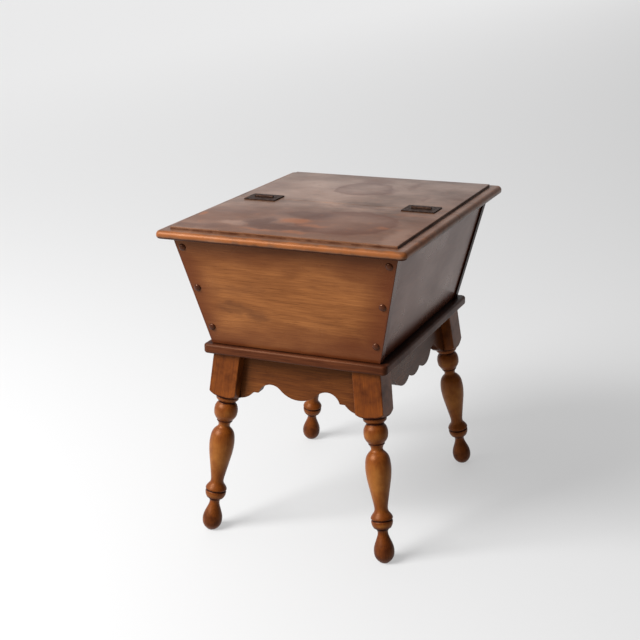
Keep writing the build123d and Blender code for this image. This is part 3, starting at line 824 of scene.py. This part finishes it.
def scallop_depths(post, lobes):
    """Apron depth below the platform, from the middle out to the post: lobes, an arch tangent
    to the last lobe, a small flat, and a quarter sweep."""
    last = lobe_pitch * (lobes - 1) / 2
    joined = lobe_radius + arch_radius
    lobe_middle, arch_middle = lobe_depth - lobe_radius, arch_depth + arch_radius
    arch_at = last + (joined**2 - (arch_middle - lobe_middle) ** 2) ** 0.5
    turn = last + (arch_at - last) * lobe_radius / joined
    corner = arch_at + (arch_radius**2 - (arch_middle - flat_depth) ** 2) ** 0.5
    sweep = post - sweep_width
    stops = [lobe_pitch * (i + 0.5) for i in range((lobes - 1) // 2)] + [turn, corner, sweep, post]
    along = [
        np.linspace(start, stop, scallop_steps, endpoint=False)
        for start, stop in zip([0] + stops, stops)
    ]
    along = np.concatenate(along + [[post]])
    nearest = np.clip(np.round(along / lobe_pitch), 0, (lobes - 1) // 2) * lobe_pitch
    lobe = lobe_middle + circle_height(lobe_radius, along - nearest)
    arch = arch_middle - circle_height(arch_radius, along - arch_at)
    run = end_depth - sweep_radius + circle_height(sweep_radius, post - along)
    depth = np.where(along <= turn, lobe, np.where(along < corner, arch, flat_depth))
    return along, np.where(along > sweep + 1e-6, run, depth)


def apron(name, side, axis, lobes, material):
    """Scalloped rail: four corners of its section carried from post to post, leaning with the
    legs; axis is the one it runs along."""
    across = 1 - axis
    lean = hypot(1, leg_splay[across])
    end_slope = leg_splay[axis]
    post = leg_at(stand_height - end_depth, axis) - post_half_width * hypot(1, end_slope)
    along, depth = scallop_depths(post, lobes)
    along = np.concatenate([-along[:0:-1], along])
    depth = np.concatenate([depth[:0:-1], depth])
    rows = []
    for inset, lower in ((0, False), (0, True), (apron_thickness, True), (apron_thickness, False)):
        z = stand_height - depth if lower else np.full(len(along), stand_height)
        places = np.zeros((len(along), 3))
        pull = np.where(np.abs(along) == post, end_slope * (z - (stand_height - end_depth)), 0.0)
        places[:, axis] = along - np.sign(along) * pull
        places[:, across] = side * (leg_at(z, across) + (apron_proud - inset) * lean)
        places[:, 2] = z
        rows.append(places)
    piece = new_piece(
        f"scalloped_{name}", np.stack(rows, axis=1).reshape(-1, 3), capped_faces(len(along), 4),
        material, [name],
    )
    ease(piece, apron_arris)


# ---- pegs, screws and hinges ----
peg_radius, peg_head_radius, peg_head_height, peg_length = 4.75, 6.3, 3.6, 36.0
peg_rows, peg_top_drop, peg_bottom_rise = 3, 17.0, 31.5
flat_tip, head_undercut = 0.4, 0.3  # mm, at a peg's hidden end and under its head
crown_gap = 0.05  # radians left flat at the crown of its head


def revolved(profile, count):
    """Rings of (radius, height) turned about Z: x = r cos a, y = r sin a."""
    r, z = np.array(profile, float).T[..., None]
    angle = np.linspace(0, 2 * pi, count, endpoint=False)
    return np.stack([r * np.cos(angle), r * np.sin(angle), z + 0 * angle], axis=2)


def pegs(name, end):
    """Domed pegs up both edges of a board, square to its leaning face."""
    profile = [(flat_tip, -peg_length), (peg_radius, -peg_length), (peg_radius, 0)]
    profile += [(peg_head_radius - head_undercut, 0)]
    for a in np.linspace(0, pi / 2 - crown_gap, 9):
        profile.append((peg_head_radius * cos(a), peg_head_height * sin(a)))
    shape = revolved(profile, 32)
    rows, columns = shape.shape[:2]
    out = np.array([0, end, -box_splay_y])
    out /= np.linalg.norm(out)
    rightwards = np.array([1.0, 0, 0])
    over = np.cross(out, rightwards)
    turned = shape[..., :1] * rightwards, shape[..., 1:2] * over, shape[..., 2:] * out
    low, high = platform_height + peg_bottom_rise, rim_height - peg_top_drop
    points, faces = [], []
    for side in (left, right):
        for z in np.linspace(low, high, peg_rows):
            x = side * (box_x(z) - lean_x(side_reveal + board_thickness / 2))
            base = len(points) * rows * columns
            seat = np.array([x, end * box_y(z), z])
            points.append((seat + turned[0] + turned[1] + turned[2]).reshape(-1, 3))
            faces += [tuple(base + i for i in face) for face in capped_faces(rows, columns)]
    points = np.concatenate(points)
    new_piece(f"domed_{name}", points, faces, peg_wood, [name], sharp=50)


screw_shank, screw_head, screw_length, slot_width, slot_depth = 1.6, 3.3, 13.0, 0.9, 0.6
point_start, point_radius = 10.0, 0.2  # mm, where a screw's point starts, and its blunt end
slot_wall = 0.04  # mm, how far the slot's steep walls lean
hinge_middle, hinge_leaf_top = 150.0, 560.8
screw_spread, screw_reach, screw_middle = 21.0, 15.5, 9.5
screw_turn = 0.7  # radians from one slot to the next


def slotted_screws(name, end, body):
    """Countersunk screws of one leaf of each hinge. Rows across the head at u hold the points
    (u, t sqrt(R^2 - u^2)), t from -1 to 1, and rows inside the slot lie lower and end on the
    countersink; the same rim, shrunk, makes the cone, the shank and the point."""
    half_slot = slot_width / 2
    u = np.array([-1, -0.95, -0.8, -0.5])
    u = np.concatenate([u * screw_head, [-half_slot - slot_wall, -half_slot, 0]])
    u = np.concatenate([u, -u[-2::-1]])[:, None]
    sunk = np.where(np.abs(u) <= half_slot, slot_depth, 0.0)
    half = np.sqrt(screw_head**2 - u**2) - sunk
    t = np.linspace(-1, 1, 7)
    cap = np.stack([u + 0 * t, half * t, -sunk + 0 * t], axis=2)
    rim = np.concatenate([cap[:, -1], cap[-2:0:-1, 0]])
    circle = rim / np.linalg.norm(rim[:, :2], axis=1)[:, None] * (1, 1, 0)
    neck = screw_head - screw_shank
    below = ((screw_shank, neck), (screw_shank, point_start), (point_radius, screw_length))
    cone = [circle * radius + (0, 0, -depth) for radius, depth in below]
    shape = np.concatenate([cap.reshape(-1, 3), rim] + cone)
    cap_count, count = cap[..., 0].size, len(shape)
    shape_faces = grid_faces(len(u), len(t), False)
    shape_faces += [tuple(cap_count + i for i in face) for face in grid_faces(4, len(rim), True)]
    shape_faces.append(tuple(range(count - len(rim), count)))
    places = ((0.0, screw_middle), (-screw_spread, screw_reach), (screw_spread, screw_reach))
    points, faces = [], []
    for side in (left, right):
        for along, reach in places:
            turn = screw_turn * len(points) + end
            spin = [[cos(turn), sin(turn), 0], [-sin(turn), cos(turn), 0], [0, 0, 1]]
            seat = (side * hinge_middle + along, seam_y + end * reach, hinge_leaf_top)
            base = len(points) * count
            points.append(shape @ np.array(spin) + seat)
            faces += [tuple(base + i for i in face) for face in shape_faces]
    points = np.concatenate(points)
    new_piece(f"slotted_{name}", points, faces, black_iron, [name], body)


flat_angle = 0.5  # degrees, under which two faces are one


def smoothed_copy(node, material, body):
    """A CAD piece as one merged mesh, shaded smooth."""
    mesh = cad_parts[node].data.copy()
    piece = bpy.data.objects.new(f"finished_{node}", mesh)
    bpy.context.scene.collection.objects.link(piece)
    shell = bmesh.new()
    shell.from_mesh(mesh)
    bmesh.ops.remove_doubles(shell, verts=shell.verts, dist=merge_distance)
    bmesh.ops.dissolve_limit(
        shell, angle_limit=radians(flat_angle), verts=shell.verts, edges=shell.edges,
        use_dissolve_boundaries=False,
    )
    shell.to_mesh(mesh)
    shell.free()
    if "custom_normal" in mesh.attributes:
        mesh.attributes.remove(mesh.attributes["custom_normal"])
    finish_piece(piece, material, body)
    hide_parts(node)


# ---- making ----
end_board("front_board", front, front_wood)
end_board("back_board", back, back_wood)
side_board("left_board", left)
side_board("right_board", right)
platform()
half_top("moulded_lid", front, "lid", rim_height + lid_rest_gap, ["lid"])
half_top("moulded_rear_top", back, "chest", rim_height, ["rear_top"])
tilt_x, tilt_y = np.arctan(leg_splay[1]), np.arctan(leg_splay[0])
for row, end in (("front", front), ("back", back)):
    for way, side in (("left", left), ("right", right)):
        leg_wood = lacquered_wood(
            f"stained maple leg, {row} {way}", 2, leg_colours,
            turn=(-end * tilt_x, side * tilt_y, 0),
            start=130.0 * (side + 2) + 290.0 * (end + 2), rough=0.38, contrast=0.5, shine=0.5,
            layers=[worn_and_shaded("#200c0a", "#8a5826", dirt_and_shade=0.96, rub=0.75, size=16.0)],
        )
        turned_leg(f"leg_{row}_{way}", side, end, leg_wood)
apron("front_apron", front, 0, 1, front_apron_wood)
apron("back_apron", back, 0, 1, front_apron_wood)
apron("left_apron", left, 1, 3, side_apron_wood)
apron("right_apron", right, 1, 3, side_apron_wood)
pegs("front_pegs", front)
pegs("back_pegs", back)
slotted_screws("lid_hinge_screws", front, "lid")
slotted_screws("fixed_hinge_screws", back, "chest")
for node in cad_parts:
    if node.endswith("leaf"):
        smoothed_copy(node, black_iron, "lid" if "lid" in node else "chest")
    elif node.endswith("pin"):
        smoothed_copy(node, black_iron, "chest")
    elif node.endswith("screws") and "hinge" not in node:
        smoothed_copy(node, dull_steel, "chest")
    elif "cleat" in node or "corner_block" in node:
        smoothed_copy(node, block_wood, "chest")


# ---- floor, light and camera ----
floor_half = 30000  # mm
glow_reach = 5500.0  # mm to each side of the middle, where the glow changes
glow_near, glow_far = 0.645, 0.205  # glow towards the window and away from it


def pale_floor():
    """Wide plain matt floor under the chest, lit a little from within so that its shadows
    stay faint, and more so towards the window; far off it stands for the studio's wall."""
    mesh = bpy.data.meshes.new("pale_floor")
    corners = [(left, front), (right, front), (right, back), (left, back)]
    half = floor_half * MM
    mesh.from_pydata([(x * half, y * half, 0) for x, y in corners], [], [(0, 1, 2, 3)])
    material, tree, place = new_material("matt white floor paint")
    across = add(tree, "SeparateXYZ", {0: place})
    glow = {0: across, 1: -glow_reach, 2: glow_reach, 3: glow_near, 4: glow_far}
    glow = add(tree, "MapRange", glow, **smoothly)
    paint = {"Base Color": linear("#868686"), "Roughness": 0.8, "Emission Strength": glow}
    paint["Emission Color"] = linear("#ffffff")
    add(tree, "OutputMaterial", {0: add(tree, "BsdfPrincipled", paint)}, None)
    mesh.materials.append(material)
    floor = bpy.data.objects.new("pale_floor", mesh)
    bpy.context.scene.collection.objects.link(floor)


def soft_light(name, place, aim, size, power):
    """White square area light at place, turned to aim; metres and watts."""
    data = bpy.data.lights.new(name, "AREA")
    data.shape = "SQUARE"
    data.size = size
    data.energy = power
    light = bpy.data.objects.new(name, data)
    place, aim = np.array(place, float), np.array(aim, float)
    z = (place - aim) / np.linalg.norm(place - aim)
    x = np.cross((0, 0, 1), z)
    x /= np.linalg.norm(x)
    turn_and_move(light, (x, np.cross(z, x), z, place))


def turn_and_move(thing, columns):
    """Adds a light or a camera with its three axes and its place, the columns of its matrix."""
    thing.matrix_world = Matrix([[c[i] for c in columns] for i in range(3)] + [[0, 0, 0, 1]])
    bpy.context.scene.collection.objects.link(thing)


view_azimuth, view_elevation, view_roll = 23.87, 17.67, -1.03  # degrees
view_distance, view_aside, view_height = 2220.7, -39.6, 344.8  # mm
lens_on_36_mm = 68.82


def set_camera():
    """Camera on a line from the aim point, azimuth from the front towards the right."""
    az, el, roll = radians(view_azimuth), radians(view_elevation), radians(view_roll)
    back_way = np.array([sin(az) * cos(el), -cos(az) * cos(el), sin(el)])
    level = np.cross(-back_way, (0, 0, 1))
    level /= np.linalg.norm(level)
    upright = np.cross(level, -back_way)
    x = level * cos(roll) + upright * sin(roll)
    y = -level * sin(roll) + upright * cos(roll)
    place = ((0, 0, view_height) + level * view_aside + back_way * view_distance) * MM
    data = bpy.data.cameras.new("camera")
    data.lens = lens_on_36_mm
    data.sensor_width = 36.0
    camera = bpy.data.objects.new("camera", data)
    turn_and_move(camera, (x, y, back_way, place))
    bpy.context.scene.camera = camera


def set_surroundings():
    """Pale surroundings that grow dim towards the side away from the window."""
    scene = bpy.context.scene
    scene.view_settings.view_transform = "Standard"
    world = bpy.data.worlds.new("pale studio")
    world.use_nodes = True
    tree = world.node_tree
    direction = add(tree, "SeparateXYZ", {0: add(tree, "TexCoord", {}, "Generated")})
    across = add(tree, "MapRange", {0: direction, 1: -1.0, 2: 1.0})
    shades = [(0.1, "#e9e9ea"), (0.42, "#dadadb"), (0.62, "#a4a4a5"), (0.95, "#5c5c5d")]
    colour = add(tree, "ValToRGB", {0: across}, stops=shades)
    tree.links.new(colour, tree.nodes["Background"].inputs["Color"])
    scene.world = world


pale_floor()
soft_light(
    "large window, front left", place=(-1.62, -1.93, 2.32), aim=(0, 0, 0.35), size=1.7, power=240
)
set_surroundings()
set_camera()
